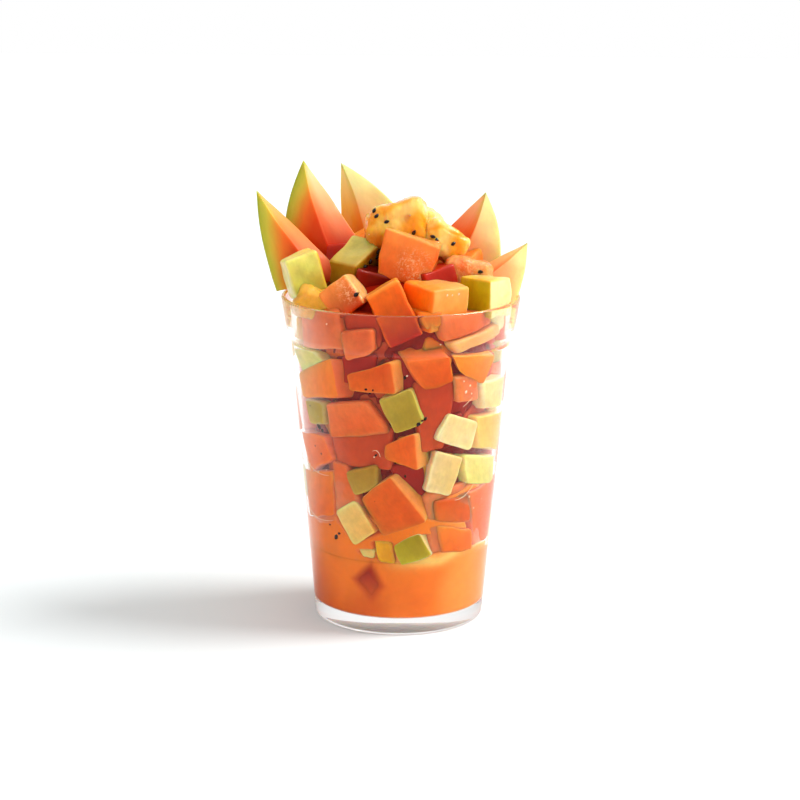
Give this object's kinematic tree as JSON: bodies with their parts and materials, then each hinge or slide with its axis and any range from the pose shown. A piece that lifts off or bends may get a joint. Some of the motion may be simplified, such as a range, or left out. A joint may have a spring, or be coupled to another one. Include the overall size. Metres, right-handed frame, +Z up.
{
  "type": "fruit cup",
  "caption": "Tall clear tumbler of cut papaya, melon and golden kiwi in orange juice, heaped above the rim, with pointed papaya slices standing in the heap.",
  "frame": {"origin": "centre of the flat foot of the glass, where it stands", "axes": "+Z up the glass, -Y is the front that shows the broad sides of the papaya slices, +X to the right"},
  "size_m": [0.1023, 0.0931, 0.173],
  "materials": {
    "clear_glass": "clear and smooth",
    "orange_juice": "cloudy orange juice, wet",
    "mixed_fruit": "wet cut fruit, slightly see-through",
    "papaya_slice": "wet orange-red flesh that fades to cream and green under a thin skin",
    "papaya_flesh": "wet, grainy orange-red flesh",
    "orange_melon": "wet, smooth orange flesh",
    "green_melon": "wet, pale green flesh",
    "golden_kiwi": "glassy golden pulp"
  },
  "bodies": {
    "root": {"glass": "clear_glass", "juice": "orange_juice", "mixed_fruit": "mixed_fruit", "slice_far_left": "papaya_slice", "slice_left": "papaya_slice", "slice_middle": "papaya_slice", "slice_right": "papaya_slice", "slice_far_right": "papaya_slice", "papaya_cube_centre": "papaya_flesh", "papaya_cube_shaded": "papaya_flesh", "melon_cube_front": "orange_melon", "melon_block_front_right": "orange_melon", "melon_cube_front_left": "orange_melon", "melon_lump_right": "orange_melon", "green_cube_left": "green_melon", "green_cube_right": "green_melon", "green_cube_seeded": "green_melon", "golden_lump_front": "golden_kiwi", "golden_chunk_back": "golden_kiwi", "golden_chunk_right": "golden_kiwi", "golden_piece_left": "golden_kiwi"}
  },
  "joints": []
}
